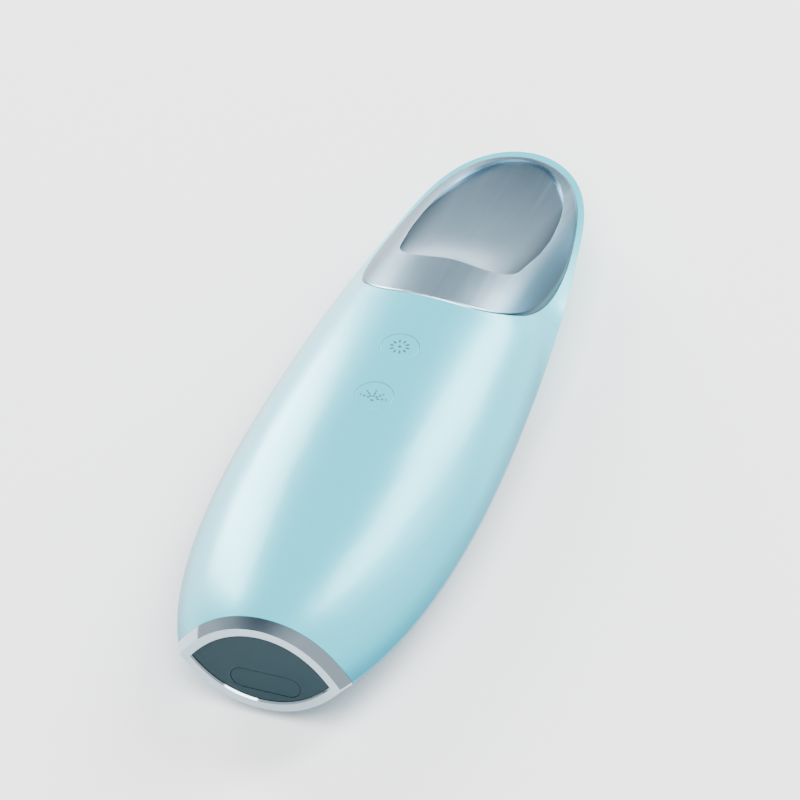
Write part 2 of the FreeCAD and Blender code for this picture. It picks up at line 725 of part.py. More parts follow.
def make_port_plug():
    z = -size("port_drop")
    start = size("cap_recess") + size("film_gap")
    back_y = size("cap_recess") + size("plug_thickness") - size("film_gap")
    plug = stadium(-size("plug_low_x"), size("plug_high_x"), z, size("plug_height"), start, back_y)
    front_rim = edges_where(plug, lambda point: abs(point.y - start) < 1e-3)
    plug = rounded(plug, size("edge_round"), front_rim, "the port plug")
    half = size("plug_tongue_width") / 2
    plug = plug.fuse(stadium(-half, half, z, size("plug_tongue_height"), back_y - size("overlap"),
                             size("plug_tongue_end")))
    x = size("leash_x")
    plug = plug.fuse(along_rod(x, z, size("leash_radius"), back_y - size("overlap"), size("leash_end")))
    barb = along_rod(x, z, size("leash_barb_radius"), size("leash_barb_start"), size("leash_end"))
    return feature("port_plug", plug.fuse(barb).removeSplitter())


# ---------------------------------------------------------------- keys


def make_key(name, y):
    """A cap flush with the case, a flange behind the case's wall, and a stem to the switch."""
    flange_top = size("key_flange_top")
    flange_bottom = flange_top - size("key_flange_thickness")
    cap = upright_rod(0, y, size("key_radius"), flange_bottom, ABOVE)
    cap = cap.common(under(front, size("key_sink")))
    top_rim = edges_where(cap, lambda point: point.z > flange_top + 1)
    cap = rounded(cap, size("edge_round"), top_rim, name)
    groove_low = size("key_groove_z") - size("key_groove_width") / 2
    groove_high = groove_low + size("key_groove_width")
    groove = upright_rod(0, y, size("key_radius") + 1, groove_low, groove_high)
    groove = groove.cut(upright_rod(0, y, size("key_radius") - size("key_groove_depth"), 0, ABOVE))
    cap = cap.cut(groove)
    cap = cap.fuse(upright_rod(0, y, size("key_flange_radius"), flange_bottom, flange_top))
    cap = cap.fuse(upright_rod(0, y, size("key_stem_radius"), size("key_stem_end"), flange_bottom))
    return feature(name + "_key", cap.removeSplitter())


def make_key_seal(name, y):
    ring = doc.addObject("Part::Torus", name + "_key_seal")
    ring.Label = name + "_key_seal"
    ring.setExpression("Radius1", bound("key_radius + fit_gap - key_ring_section"))
    ring.setExpression("Radius2", bound("key_ring_section"))
    return place(ring, y=name + "_key_y", z="key_groove_z")


def make_plunger(name):
    label = name + "_switch_plunger"
    rod = doc.addObject("Part::Cylinder", label)
    rod.Label = label
    rod.setExpression("Radius", bound("key_stem_radius"))
    rod.setExpression("Height", bound("key_stem_end - plunger_bottom"))
    return place(rod, y=name + "_key_y", z="plunger_bottom")


def make_switch(name):
    """The switch's square housing, with the well its plunger moves in."""
    label = name + "_switch"
    body = new_body(label)
    sketch = sketch_on(body, "XY_Plane", label + "_plan", "board_z + board_thickness")
    y = name + "_key_y"
    rectangle(sketch, "0 - switch_size / 2", "switch_size / 2",
              y + " - switch_size / 2", y + " + switch_size / 2")
    housing = pad(body, sketch, "switch_height")
    round_edges(body, housing, "edge_round * 6", upright)
    well = sketch_on(body, "XY_Plane", label + "_well", "board_z + board_thickness + switch_height")
    circle(well, "0", y, "plunger_hole_radius")
    pocket(body, well, "plunger_hole_depth")
    return place(body)


# ---------------------------------------------------------------- frame


def make_inner_frame():
    """A plate with rails for the battery, a saddle for the motor and a yoke for the stack."""
    body = new_body("inner_frame")
    plan = sketch_on(body, "XY_Plane", "frame_plan", "frame_z")
    polygon(plan, (
        ("ear_inner_x", "frame_start"), ("ear_inner_x", "ear_start"),
        ("frame_half_width - ear_chamfer", "ear_start"), ("frame_half_width", "ear_start + ear_slope"),
        ("frame_half_width", "frame_end"), ("0 - frame_half_width", "frame_end"),
        ("0 - frame_half_width", "ear_start + ear_slope"),
        ("ear_chamfer - frame_half_width", "ear_start"),
        ("0 - ear_inner_x", "ear_start"), ("0 - ear_inner_x", "frame_start"),
    ))
    plate = pad(body, plan, "frame_thickness")
    round_edges(body, plate, "frame_round",
                lambda edge: upright(edge) and abs(edge.Vertexes[0].X) > size("ear_inner_x") + 1)
    for name, low_x, high_x, low_y, high_y, low_z in (
            ("left_rail", "0 - rail_x - rail_width", "0 - rail_x", "rail_start", "rail_end", "rail_z"),
            ("right_rail", "rail_x", "rail_x + rail_width", "rail_start", "rail_end", "rail_z"),
            ("saddle", "0 - saddle_half_width", "saddle_half_width",
             "saddle_start", "saddle_end", "saddle_z"),
            ("yoke", "0 - yoke_half_width", "yoke_half_width", "yoke_start", "yoke_end", "yoke_z")):
        foot = sketch_on(body, "XY_Plane", name + "_plan", low_z)
        rectangle(foot, low_x, high_x, low_y, high_y)
        pad(body, foot, "frame_z + frame_thickness - ( %s )" % low_z)
    for name, x, y in (("a", "standoff_x", "standoff_low_y"),
                       ("b", "0 - standoff_x", "standoff_low_y"),
                       ("c", "standoff_x", "standoff_high_y"),
                       ("d", "0 - standoff_x", "standoff_high_y")):
        stud = sketch_on(body, "XY_Plane", "standoff_" + name, "frame_z + frame_thickness / 2")
        circle(stud, x, y, "standoff_radius")
        pad(body, stud, "board_z - frame_z - frame_thickness / 2")
    holes = sketch_on(body, "XY_Plane", "frame_screw_holes", "frame_z + frame_thickness")
    for side in ("", "0 - "):
        circle(holes, side + "low_screw_x", "low_screw_y", "screw_hole_radius")
        circle(holes, side + "high_screw_x", "high_screw_y", "screw_hole_radius")
    pocket(body, holes, "frame_thickness")
    window = sketch_on(body, "XY_Plane", "stack_window", "frame_z + frame_thickness")
    rectangle(window, "0 - window_half_width", "window_half_width", "window_start", "window_end")
    pocket(body, window, "frame_thickness")
    for name, centre, radius, start, end in (
            ("motor_bore", "motor_z", "sleeve_radius", "saddle_start - 1", "saddle_end + 1"),
            ("stack_bore", "stack_z", "collar_radius", "yoke_start - 1", "yoke_end + 1")):
        bore = sketch_on(body, "XZ_Plane", name, "0 - ( %s )" % start)
        circle(bore, "0", centre, radius)
        pocket(body, bore, "( %s ) - ( %s )" % (end, start))
    return place(body)


def make_screws(label, places, low_z, upward, names):
    """A group of pan-head screws, each a separate solid."""
    head_radius, head_height, radius, length, socket_radius, socket_depth = [size(n) for n in names]
    direction = UP if upward else -UP
    screws = []
    for x, y in places:
        top = Vector(x, y, low_z)
        head = Part.makeCylinder(head_radius, head_height, top, direction)
        outer = edges_where(head, lambda point: abs(point.z - low_z) < 1e-6)
        head = head.makeFillet(head_height * HEAD_ROUND, outer)
        neck = top + direction * (head_height - size("film_gap"))
        shank = Part.makeCylinder(radius, length, neck, direction)
        screw = head.fuse(shank)
        screw = screw.cut(Part.makeCylinder(socket_radius, socket_depth, top, direction))
        screws.append(screw.removeSplitter())
    return feature(label, Part.makeCompound(screws))


# ---------------------------------------------------------------- battery and boards


def make_battery():
    body = new_body("battery_cell")
    plan = sketch_on(body, "XY_Plane", "battery_plan", "battery_top - battery_thickness")
    rectangle(plan, "0 - battery_half_width", "battery_half_width",
              "battery_start", "battery_start + battery_length")
    cell = pad(body, plan, "battery_thickness")
    round_edges(body, cell, "battery_round",
                lambda edge: abs(edge.Vertexes[0].Y - edge.Vertexes[-1].Y) > 1)
    return place(body)


def make_main_board():
    body = new_body("main_board")
    plan = sketch_on(body, "XY_Plane", "board_plan", "board_z")
    half, notch = "board_half_width", "board_notch"
    polygon(plan, (
        (half, "board_start"), (half, "board_end - " + notch),
        (half + " - " + notch, "board_end - " + notch), (half + " - " + notch, "board_end"),
        ("%s - %s" % (notch, half), "board_end"), ("%s - %s" % (notch, half), "board_end - " + notch),
        ("0 - " + half, "board_end - " + notch), ("0 - " + half, "board_start"),
    ))
    pad(body, plan, "board_thickness")
    holes = sketch_on(body, "XY_Plane", "board_holes", "board_z + board_thickness")
    for side in ("", "0 - "):
        circle(holes, side + "standoff_x", "standoff_low_y", "board_hole_radius")
        circle(holes, side + "standoff_x", "standoff_high_y", "board_hole_radius")
    pocket(body, holes, "board_thickness")
    return place(body)


def make_port_board():
    body = new_body("port_board")
    plan = sketch_on(body, "XY_Plane", "port_board_plan",
                     "0 - port_drop - socket_height / 2 - port_board_thickness")
    rectangle(plan, "0 - port_board_half_width", "port_board_half_width",
              "port_board_start", "port_board_end")
    board = pad(body, plan, "port_board_thickness")
    round_edges(body, board, "port_board_thickness", upright)
    holes = sketch_on(body, "XY_Plane", "port_board_holes",
                      "0 - port_drop - socket_height / 2")
    for side in ("", "0 - "):
        circle(holes, side + "port_screw_x", "port_screw_y", "small_hole_radius")
    pocket(body, holes, "port_board_thickness")
    return place(body)


def make_usb_socket():
    """A drawn steel shell around a flat contact tongue."""
    z = -size("port_drop")
    half = size("socket_width") / 2
    start, end = size("socket_start"), size("socket_end")
    sheet_thickness = size("socket_sheet")
    shell = stadium(-half, half, z, size("socket_height"), start, end)
    shell = shell.cut(stadium(sheet_thickness - half, half - sheet_thickness, z,
                              size("socket_height") - 2 * sheet_thickness, start - 1, end - 1))
    tongue_half = size("socket_tongue_width") / 2
    thickness = size("socket_tongue_height")
    tongue_start = size("socket_tongue_start")
    tongue = Part.makeBox(2 * tongue_half, end - size("socket_back") - tongue_start, thickness,
                          Vector(-tongue_half, tongue_start, z - thickness / 2))
    return feature("usb_socket", shell.fuse(tongue).removeSplitter())


def centred_block(label, x, y, width, length, low_z, height, radius=None):
    return block(label, "%s - %s / 2" % (x, width), "%s + %s / 2" % (x, width),
                 "%s - %s / 2" % (y, length), "%s + %s / 2" % (y, length), low_z, height, radius)


BOARD_TOP = "board_z + board_thickness"
CAPACITORS = 4
LOOP_SHARE = 0.45   # bend of a lead loop, as a share of its span


def make_radio():
    """A wireless module: a thin board with its aerial end bare beside a metal can."""
    body = new_body("wireless_module")
    low_y, high_y = "radio_y - radio_length / 2", "radio_y + radio_length / 2"
    plan = sketch_on(body, "XY_Plane", "radio_plan", BOARD_TOP)
    rectangle(plan, "0 - radio_width / 2", "radio_width / 2", low_y, high_y)
    pad(body, plan, "radio_plate")
    can = sketch_on(body, "XY_Plane", "radio_can", BOARD_TOP + " + radio_plate / 2")
    rectangle(can, "radio_antenna - radio_width / 2", "radio_width / 2 - radio_edge",
              low_y + " + radio_edge", high_y + " - radio_edge")
    pad(body, can, "radio_height - radio_plate / 2")
    return place(body)


def make_transformer():
    """A small ferrite transformer: a square foot, a drum of wire and a square cap."""
    body = new_body("drive_transformer")
    foot = sketch_on(body, "XY_Plane", "transformer_foot", BOARD_TOP)
    rectangle(foot, "coil_x - coil_base / 2", "coil_x + coil_base / 2",
              "coil_y - coil_base / 2", "coil_y + coil_base / 2")
    feet = pad(body, foot, "coil_base_height")
    round_edges(body, feet, "coil_base_height", upright)
    drum = sketch_on(body, "XY_Plane", "transformer_drum", BOARD_TOP + " + coil_base_height / 2")
    circle(drum, "coil_x", "coil_y", "coil_core_radius")
    pad(body, drum, "coil_height - coil_base_height / 2 - coil_cap_height / 2")
    cap = sketch_on(body, "XY_Plane", "transformer_cap",
                    BOARD_TOP + " + coil_height - coil_cap_height")
    rectangle(cap, "coil_x - coil_cap / 2", "coil_x + coil_cap / 2",
              "coil_y - coil_cap / 2", "coil_y + coil_cap / 2")
    pad(body, cap, "coil_cap_height")
    return place(body)


def make_choke():
    """A drum-core inductor, waisted where the wire is wound."""
    body = new_body("drive_inductor")
    for name, radius, low_z, height in (
            ("choke_foot", "choke_radius", BOARD_TOP, "choke_flange"),
            ("choke_drum", "choke_waist", BOARD_TOP, "choke_height"),
            ("choke_cap", "choke_radius", BOARD_TOP + " + choke_height - choke_flange",
             "choke_flange")):
        plan = sketch_on(body, "XY_Plane", name, low_z)
        circle(plan, "choke_x", "choke_y", radius)
        pad(body, plan, height)
    return place(body)


def chip_row(label, places, width, length, height):
    """Identical small components on the board, one solid each."""
    low_z = size("board_z") + size("board_thickness")
    pieces = [Part.makeBox(width, length, height, Vector(x - width / 2, y - length / 2, low_z))
              for x, y in places]
    return feature(label, Part.makeCompound(pieces))


# ---------------------------------------------------------------- motor


def make_motor():
    """A closed can with a bearing nose; the shaft turns in a blind bore."""
    return turned("vibration_motor", "motor_z", (
        ("motor_start", "0"), ("motor_start", "motor_radius"), ("motor_end", "motor_radius"),
        ("motor_end", "motor_nose_radius"), ("motor_nose_end", "motor_nose_radius"),
        ("motor_nose_end", "shaft_bore_radius"), ("shaft_start - shaft_end_gap", "shaft_bore_radius"),
        ("shaft_start - shaft_end_gap", "0"),
    ))


def make_motor_sleeve():
    return turned("motor_sleeve", "motor_z", (
        ("saddle_start - sleeve_overhang", "motor_radius"),
        ("saddle_start - sleeve_overhang", "sleeve_radius"),
        ("saddle_end + sleeve_overhang", "sleeve_radius"),
        ("saddle_end + sleeve_overhang", "motor_radius"),
    ))


def make_motor_shaft():
    return turned("motor_shaft", "motor_z", (
        ("shaft_start", "0"), ("shaft_start", "shaft_radius"),
        ("shaft_end", "shaft_radius"), ("shaft_end", "0"),
    ))


def make_motor_weight():
    """A half disc with a hub, pressed on the shaft."""
    start, end = size("weight_start"), size("weight_end")
    z = size("motor_z")
    disc = along_rod(0, z, size("weight_radius"), start, end)
    disc = disc.common(slab(-ABOVE, z, start - 1, end + 1))
    disc = disc.fuse(along_rod(0, z, size("weight_hub_radius"), start, end))
    return feature("motor_weight",
                   disc.cut(along_rod(0, z, size("shaft_radius"), start - 1, end + 1)).removeSplitter())


# ---------------------------------------------------------------- transducer


def stack_positions():
    """Start of each electrode and ceramic ring along the stack."""
    electrode, ceramic = size("electrode_thickness"), size("piezo_thickness")
    start = size("tail_end")
    electrodes = [start + index * (electrode + ceramic) for index in range(3)]
    rings = [position + electrode for position in electrodes[:2]]
    return electrodes, rings


def stack_ring(start, thickness, radius):
    z = size("stack_z")
    ring = along_rod(0, z, radius, start, start + thickness)
    return ring.cut(along_rod(0, z, size("stack_bore_radius"), start - 1, start + thickness + 1))


def make_piezo_rings():
    rings = stack_positions()[1]
    thickness = size("piezo_thickness")
    return feature("piezo_rings", Part.makeCompound(
        [stack_ring(start, thickness, size("stack_radius")) for start in rings]))


def make_electrodes():
    """Thin contact discs, each with a solder tab that stands up beside the board."""
    electrodes = stack_positions()[0]
    thickness = size("electrode_thickness")
    pieces = []
    for index, start in enumerate(electrodes):
        side = (-1, 1, -1)[index]
        low_x = side * size("tab_x") - size("tab_width") / 2
        tab = Part.makeBox(size("tab_width"), thickness, size("tab_top") - size("tab_foot"),
                           Vector(low_x, start, size("tab_foot")))
        disc = stack_ring(start, thickness, size("electrode_radius"))
        pieces.append(disc.fuse(tab).removeSplitter())
    return feature("piezo_electrodes", Part.makeCompound(pieces))


def stack_end():
    return "tail_end + electrode_thickness * 3 + piezo_thickness * 2"


def make_tail_mass():
    return turned("tail_mass", "stack_z", (
        ("tail_start", "stack_bore_radius"), ("tail_start", "stack_radius - tail_chamfer"),
        ("tail_start + tail_chamfer", "stack_radius"), ("tail_end", "stack_radius"),
        ("tail_end", "stack_bore_radius"),
    ))


def make_horn():
    """Flange and groove for the collar, then a taper to a neck under the scoop."""
    return turned("transducer_horn", "stack_z", (
        (stack_end(), "bolt_radius"), (stack_end(), "stack_radius"),
        ("collar_start", "stack_radius"), ("collar_start", "horn_groove_radius"),
        ("collar_end", "horn_groove_radius"), ("collar_end", "stack_radius"),
        ("horn_flange_end", "stack_radius"), ("horn_neck_start", "horn_neck_radius"),
        ("horn_end", "horn_neck_radius"), ("horn_end", "0"),
        ("bolt_end + bolt_end_gap", "0"), ("bolt_end + bolt_end_gap", "bolt_radius"),
    ))


def make_stack_bolt():
    z = size("stack_z")
    start = size("bolt_start")
    bolt = along_rod(0, z, size("bolt_head_radius"), start, size("tail_start"))
    bolt = bolt.fuse(along_rod(0, z, size("bolt_radius"), start + 1, size("bolt_end")))
    socket = along_rod(0, z, size("bolt_socket_radius"), start, start + size("bolt_socket_depth"))
    return feature("stack_bolt", bolt.cut(socket).removeSplitter())


def make_collar():
    return turned("isolation_collar", "stack_z", (
        ("collar_start", "horn_groove_radius"), ("collar_start", "collar_radius"),
        ("collar_end", "collar_radius"), ("collar_end", "horn_groove_radius"),
    ))


def make_coupling_block():
    """Joins the horn's neck to the underside of the scoop."""
    z = size("stack_z")
    half = size("block_half_width")
    start, end = size("block_start"), size("block_end")
    rib = Part.makeBox(2 * half, end - start, ABOVE, Vector(-half, start, z))
    rib = beneath(rib, size("plate") + size("film_gap"))
    boss = along_rod(0, z, half, start, end)
    saddle = rib.fuse(boss)
    saddle = saddle.cut(along_rod(0, z, size("horn_neck_radius"), start - 1, size("horn_end")))
    return feature("coupling_block", saddle.removeSplitter())


# ---------------------------------------------------------------- leads and contacts


def tube(points, bend, radius):
    """A wire along straight runs joined by tangent arcs."""
    edges = []
    last = points[0]
    for before, corner, after in zip(points, points[1:], points[2:]):
        incoming = (corner - before).normalize()
        outgoing = (after - corner).normalize()
        half_turn = incoming.getAngle(outgoing) / 2
        reach = bend * math.tan(half_turn)
        start, end = corner - incoming * reach, corner + outgoing * reach
        inner = (outgoing - incoming).normalize()
        middle = corner + inner * (bend / math.cos(half_turn) - bend)
        edges.append(Part.LineSegment(last, start).toShape())
        edges.append(Part.Arc(start, middle, end).toShape())
        last = end
    edges.append(Part.LineSegment(last, points[-1]).toShape())
    path = Part.Wire(edges)
    first = (points[1] - points[0]).normalize()
    section = Part.Wire([Part.Circle(points[0], first, radius).toShape()])
    return path.makePipeShell([section], True, True)


def make_battery_lead():
    wires = []
    for side in (-1, 1):
        x = side * size("lead_x")
        low, high = size("lead_low_z"), size("lead_high_z")
        drop = size("lead_drop_y")
        points = [Vector(x, size("battery_start"), low), Vector(x, drop, low),
                  Vector(x, drop, high),
                  Vector(x, size("connector_y") - size("connector_length") / 2, high)]
        wires.append(tube(points, size("lead_bend"), size("lead_radius")))
    return feature("battery_lead", Part.makeCompound(wires))


def make_transducer_lead():
    """Two short loops from the solder tabs down to the board's end."""
    electrodes = stack_positions()[0]
    board_top = size("board_z") + size("board_thickness")
    wires = []
    for side, start in ((-1, electrodes[0]), (1, electrodes[1])):
        x = side * size("tab_x")
        y = start + size("electrode_thickness") / 2
        points = [Vector(x, y, size("tab_top")), Vector(x, y, size("tab_lead_top")),
                  Vector(x, size("tab_lead_y"), size("tab_lead_top")),
                  Vector(x, size("tab_lead_y"), board_top)]
        bend = (y - size("tab_lead_y")) * LOOP_SHARE
        wires.append(tube(points, bend, size("lead_radius")))
    return feature("transducer_lead", Part.makeCompound(wires))


def strip(label, low_x, high_x, corners, thickness):
    """A bent strip of even thickness, its lower side through the corners (y, z)."""
    points = [Vector(low_x, y, z) for y, z in corners]
    path = Part.Wire([Part.LineSegment(a, b).toShape() for a, b in zip(points, points[1:])])
    section = path.makeOffset2D(thickness, 2, True, True)
    return feature(label, section.extrude(Vector(high_x - low_x, 0, 0)))


def make_port_flex():
    low = -size("port_drop") - size("socket_height") / 2 + size("film_gap")
    high = size("board_z") + size("board_thickness") + size("film_gap")
    rise = size("flex_rise_y")
    lap = size("flex_lap")
    corners = ((size("port_board_end") - lap, low), (rise, low), (rise, high),
               (size("board_start") + lap, high))
    return strip("port_flex", size("flex_low_x"), size("flex_high_x"), corners,
                 -size("flex_thickness"))


def make_head_contact():
    low = size("board_z") + size("board_thickness") + size("contact_thickness") + size("film_gap")
    touch_y = size("contact_touch_y")
    x = size("contact_high_x")
    end_y = size("contact_end_y")
    high = front(x, end_y) - size("contact_depth") * slope_factor(front, x, end_y)
    corners = ((size("contact_start"), low), (size("contact_bend_y"), low),
               (touch_y, high - size("contact_toe")), (end_y, high))
    return strip("head_contact", size("contact_low_x"), x, corners, -size("contact_thickness"))


# ---------------------------------------------------------------- the device


case = outer_case()
make_front_shell(case)
make_rear_shell(case)
make_parting_gasket()
make_head()
make_head_gasket()
make_base_ring(case)
make_base_cap()
make_base_seal()
make_port_plug()
for key_name, key_y in key_places():
    make_key(key_name, key_y)
    make_key_seal(key_name, key_y)
    make_plunger(key_name)
    make_switch(key_name)
make_inner_frame()
make_screws("frame_screws", frame_screw_places(), size("frame_z") - size("screw_head_height"), True,
            ("screw_head_radius", "screw_head_height", "screw_radius", "screw_length",
             "screw_socket_radius", "screw_socket_depth"))
make_battery()
block("battery_pad", "battery_pad_margin - battery_half_width",
      "battery_half_width - battery_pad_margin", "battery_start + battery_pad_margin",
      "battery_start + battery_length - battery_pad_margin", "battery_top",
      "frame_z - battery_top")
make_main_board()
make_port_board()
make_usb_socket()
small_screws = [(side * size("port_screw_x"), size("port_screw_y")) for side in (-1, 1)]
make_screws("port_screws", small_screws,
            -size("port_drop") - size("socket_height") / 2 + size("small_head_height"), False,
            ("small_head_radius", "small_head_height", "small_screw_radius", "small_screw_length",
             "small_pilot_radius", "screw_socket_depth"))
centred_block("controller_chip", "chip_x", "chip_y", "chip_size", "chip_size", BOARD_TOP, "chip_height")
make_radio()
make_transformer()
make_choke()
chip_row("board_capacitors",
         [(size("capacitor_x"), size("capacitor_y") + index * size("capacitor_pitch"))
          for index in range(CAPACITORS)],
         size("capacitor_length"), size("capacitor_width"), size("capacitor_height"))
chip_row("status_leds", [(side * size("led_x"), y) for name, y in key_places() for side in (-1, 1)],
         size("led_width"), size("led_length"), size("led_height"))
centred_block("battery_connector", "0", "connector_y", "connector_width", "connector_length",
              BOARD_TOP, "connector_height", "edge_round * 2")
make_motor()
make_motor_sleeve()
make_motor_shaft()
make_motor_weight()
make_tail_mass()
make_electrodes()
make_piezo_rings()
make_horn()
make_stack_bolt()
make_collar()
make_coupling_block()
make_battery_lead()
make_transducer_lead()
make_port_flex()
make_head_contact()

doc.recompute()
for item in doc.Objects:
    if "Invalid" in item.State or "Error" in item.State:
        raise RuntimeError("%s failed: %s" % (item.Label, item.State))
os.makedirs("parts", exist_ok=True)
for item in sub_parts:
    if item.Shape.isNull() or not item.Shape.isValid() or not item.Shape.Solids:
        raise RuntimeError("%s has no valid shape" % item.Label)
    item.Shape.exportStep("parts/%s.step" % item.Label)
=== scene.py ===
import json
import math

import bmesh
import bpy
from mathutils import Matrix, Vector
from mathutils.bvhtree import BVHTree


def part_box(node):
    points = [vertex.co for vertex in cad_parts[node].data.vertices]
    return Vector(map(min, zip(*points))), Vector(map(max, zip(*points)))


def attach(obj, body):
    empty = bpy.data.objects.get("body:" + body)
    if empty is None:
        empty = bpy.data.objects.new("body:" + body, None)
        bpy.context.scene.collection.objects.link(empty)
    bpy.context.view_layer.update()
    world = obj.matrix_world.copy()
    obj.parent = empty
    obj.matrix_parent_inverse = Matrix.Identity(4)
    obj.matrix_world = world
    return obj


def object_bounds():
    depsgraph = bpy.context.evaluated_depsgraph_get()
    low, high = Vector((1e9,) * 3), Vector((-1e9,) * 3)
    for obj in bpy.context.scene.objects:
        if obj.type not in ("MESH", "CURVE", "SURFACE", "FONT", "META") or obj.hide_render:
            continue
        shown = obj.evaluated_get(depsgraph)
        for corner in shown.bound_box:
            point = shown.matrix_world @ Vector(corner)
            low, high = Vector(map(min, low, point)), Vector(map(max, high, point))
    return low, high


MM = 0.001

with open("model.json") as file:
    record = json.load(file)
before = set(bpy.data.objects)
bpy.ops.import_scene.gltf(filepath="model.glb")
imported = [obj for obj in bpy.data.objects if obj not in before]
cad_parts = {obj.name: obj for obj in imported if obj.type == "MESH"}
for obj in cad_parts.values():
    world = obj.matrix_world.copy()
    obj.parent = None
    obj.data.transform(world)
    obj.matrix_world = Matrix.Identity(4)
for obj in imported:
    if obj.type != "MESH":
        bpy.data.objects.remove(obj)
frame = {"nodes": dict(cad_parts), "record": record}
nodes = frame["nodes"]
cad_low, cad_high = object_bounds()
middle = (Vector(cad_low) + Vector(cad_high)) / 2

# The view: azimuth from behind the base end towards +Y, elevation, and the photo's small roll.
AZIMUTH = math.radians(20.4)
ELEVATION = math.radians(42.0)
ROLL = math.radians(-1.2)
CAMERA_DISTANCE = 2.4
LENS = 590.0


# ---------------------------------------------------------------- materials


SOCKETS = {
    "coat": "Coat Weight",
    "coat_roughness": "Coat Roughness",
    "specular": "Specular IOR Level",
    "anisotropic": "Anisotropic",
    "subsurface": "Subsurface Weight",
    "subsurface_scale": "Subsurface Scale",
}


def material(name, colour, metallic=0.0, roughness=0.5, **constants):
    """A Principled material with its constants on its own sockets, ready for texture nodes."""
    made = bpy.data.materials.new(name)
    made.use_nodes = True
    shader = made.node_tree.nodes["Principled BSDF"]
    shader.inputs["Base Color"].default_value = (*colour, 1)
    shader.inputs["Metallic"].default_value = metallic
    shader.inputs["Roughness"].default_value = roughness
    for socket, value in constants.items():
        shader.inputs[SOCKETS[socket]].default_value = value
    return made


def node(tree, kind, **settings):
    made = tree.nodes.new(kind)
    for key, value in settings.items():
        if key in made.inputs:
            made.inputs[key].default_value = value
        else:
            setattr(made, key, value)
    return made


def object_coordinates(tree, stretch=(1, 1, 1)):
    """Object coordinates, scaled per axis so that a texture can be drawn out."""
    place = node(tree, "ShaderNodeTexCoord")
    mapping = node(tree, "ShaderNodeMapping")
    mapping.inputs["Scale"].default_value = stretch
    tree.links.new(place.outputs["Object"], mapping.inputs["Vector"])
    return mapping.outputs["Vector"]


def noise(tree, vector, scale, detail=3.0):
    made = node(tree, "ShaderNodeTexNoise")
    made.inputs["Scale"].default_value = scale
    made.inputs["Detail"].default_value = detail
    tree.links.new(vector, made.inputs["Vector"])
    return made.outputs["Fac"]


def ramp(tree, factor, stops):
    made = node(tree, "ShaderNodeValToRGB")
    elements = made.color_ramp.elements
    while len(elements) < len(stops):
        elements.new(0.5)
    for element, (position, colour) in zip(elements, stops):
        element.position = position
        element.color = (*colour, 1)
    tree.links.new(factor, made.inputs["Fac"])
    return made.outputs["Color"]


def spread(tree, factor, low, high):
    """A texture value mapped onto a range."""
    made = node(tree, "ShaderNodeMapRange")
    made.inputs["To Min"].default_value = low
    made.inputs["To Max"].default_value = high
    tree.links.new(factor, made.inputs["Value"])
    return made.outputs["Result"]


def bump(tree, shader, height, distance, strength=1.0):
    made = node(tree, "ShaderNodeBump")
    made.inputs["Strength"].default_value = strength
    made.inputs["Distance"].default_value = distance
    tree.links.new(height, made.inputs["Height"])
    tree.links.new(made.outputs["Normal"], shader.inputs["Normal"])


def tone(colour, factor):
    return tuple(min(max(channel * factor, 0.0), 1.0) for channel in colour)


def textured(name, colour, metallic=0.0, roughness=0.5, variation=0.08, grain=900.0,
             grain_depth=0.01, wear=0.08, stretch=(1, 1, 1), **constants):
    """Moulded, cast or drawn surfaces: cloudy colour, uneven roughness and a fine grain."""
    made = material(name, colour, metallic, roughness, **constants)
    tree = made.node_tree
    shader = tree.nodes["Principled BSDF"]
    vector = object_coordinates(tree, stretch)
    cloud = noise(tree, vector, grain / 12)
    stops = ((0.3, tone(colour, 1 - variation)), (0.7, tone(colour, 1 + variation)))
    tree.links.new(ramp(tree, cloud, stops), shader.inputs["Base Color"])
    rough = spread(tree, noise(tree, vector, grain / 5), roughness - wear / 2, roughness + wear / 2)
    tree.links.new(rough, shader.inputs["Roughness"])
    bump(tree, shader, noise(tree, vector, grain * 3, 4.0), grain_depth * MM)
    return made


# Sockets of the Mix node that carry colours.
COLOUR_A = 6
COLOUR_B = 7
COLOUR_RESULT = 2
OVERLAY_SHARE = 0.10

# Case colours: painted shade low on the grip, the lacquer's own teal, and painted light high up and
# towards the tip.
CASE_PAINTED_SHADE = (0.004, 0.215, 0.300)
CASE_MAIN = (0.022, 0.455, 0.580)
CASE_PAINTED_LIGHT = (0.045, 0.525, 0.650)
PAINTED_LIGHT_RISE = (0.42, 0.66)      # where the painted light pales the colour, as shares of the height above the base
PAINTED_LIGHT_REACH = (0.10, 0.50)     # where the painted light reaches along the device, towards the tip
FLAKE_GRAIN = 9000
HEAD_MIDDLE = (0.390, 0.570, 0.690)
# Painted dark reflection, laid on the head's flanks and tip.
HEAD_PAINTED_REFLECTION = (0.022, 0.062, 0.090)
PAINTED_REFLECTION_FADE = (0.45, 0.86)     # where the painted dark reflection fades in, as shares of the head's half width
PAINTED_REFLECTION_PAST = 0.025         # how far past the tip the painted dark reflection along the head ends, in metres
BRUSH_STRETCH = (40, 1, 1)
BRUSH_GRAIN = 60
RING_COLOUR = (0.40, 0.50, 0.56)
BOARD_MASK = (0.012, 0.145, 0.075)
BOARD_TRACK = (0.03, 0.26, 0.14)
TRACK_SCALE = 420
TRACK_WIDTH = 0.06


def overlay(tree, colour, detail):
    """A colour with a fine texture laid over it."""
    mix = node(tree, "ShaderNodeMix", data_type="RGBA", blend_type="OVERLAY")
    mix.inputs["Factor"].default_value = OVERLAY_SHARE
    tree.links.new(colour, mix.inputs[COLOUR_A])
    tree.links.new(detail, mix.inputs[COLOUR_B])
    return mix.outputs[COLOUR_RESULT]


def along_axis(tree, vector, axis, start, end):
    """0 to 1 as one object coordinate runs from start to end, in metres."""
    split = node(tree, "ShaderNodeSeparateXYZ")
    tree.links.new(vector, split.inputs["Vector"])
    run = node(tree, "ShaderNodeMapRange")
    run.interpolation_type = "SMOOTHSTEP"
    run.inputs["From Min"].default_value = start
    run.inputs["From Max"].default_value = end
    tree.links.new(split.outputs[axis], run.inputs["Value"])
    return run.outputs["Result"]


